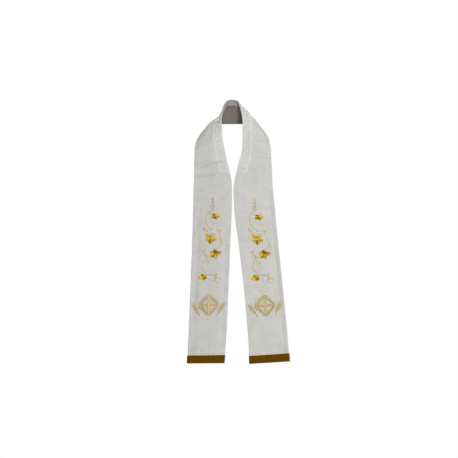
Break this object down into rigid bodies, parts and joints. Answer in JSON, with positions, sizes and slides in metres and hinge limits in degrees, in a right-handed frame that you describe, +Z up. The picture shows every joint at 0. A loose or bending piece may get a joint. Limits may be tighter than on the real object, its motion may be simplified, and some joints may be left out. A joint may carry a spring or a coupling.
{
  "type": "clerical stole",
  "caption": "Long strip vestment worn round the neck, its panels hanging at the front, with a scalloped lace collar, raised gold leaves and dark gold hem bands.",
  "frame": {"origin": "middle of the neck edge at the nape, on the cloth's outer face, where the wearer's neck holds the stole up", "axes": "+Z up along the hanging panels, the front faces -Y, the wearer's right side is -X and the left side +X"},
  "size_m": [0.4255, 0.1521, 1.0947],
  "materials": {
    "white_cloth": "off-white slubbed linen or shantung cloth, matte with a faint sheen",
    "white_lace": "white corded cotton lace",
    "gold_brown_band": "dark gold-brown velvet ribbon",
    "gold_thread": "gold metallic satin stitch",
    "pale_gold_thread": "pale gold metallic satin stitch"
  },
  "bodies": {
    "root": {"half_left": "white_cloth", "half_right": "white_cloth", "lace_collar": "white_lace", "hem_band_left": "gold_brown_band", "hem_band_right": "gold_brown_band", "leaf_1_left": "gold_thread", "leaf_2_left": "gold_thread", "leaf_3_left": "gold_thread", "leaf_4_left": "gold_thread", "leaf_1_right": "gold_thread", "leaf_2_right": "gold_thread", "leaf_3_right": "gold_thread", "leaf_4_right": "gold_thread", "medallion_left": "pale_gold_thread", "medallion_right": "pale_gold_thread", "wheat_a_left": "pale_gold_thread", "wheat_b_left": "pale_gold_thread", "wheat_a_right": "pale_gold_thread", "wheat_b_right": "pale_gold_thread"}
  },
  "joints": []
}
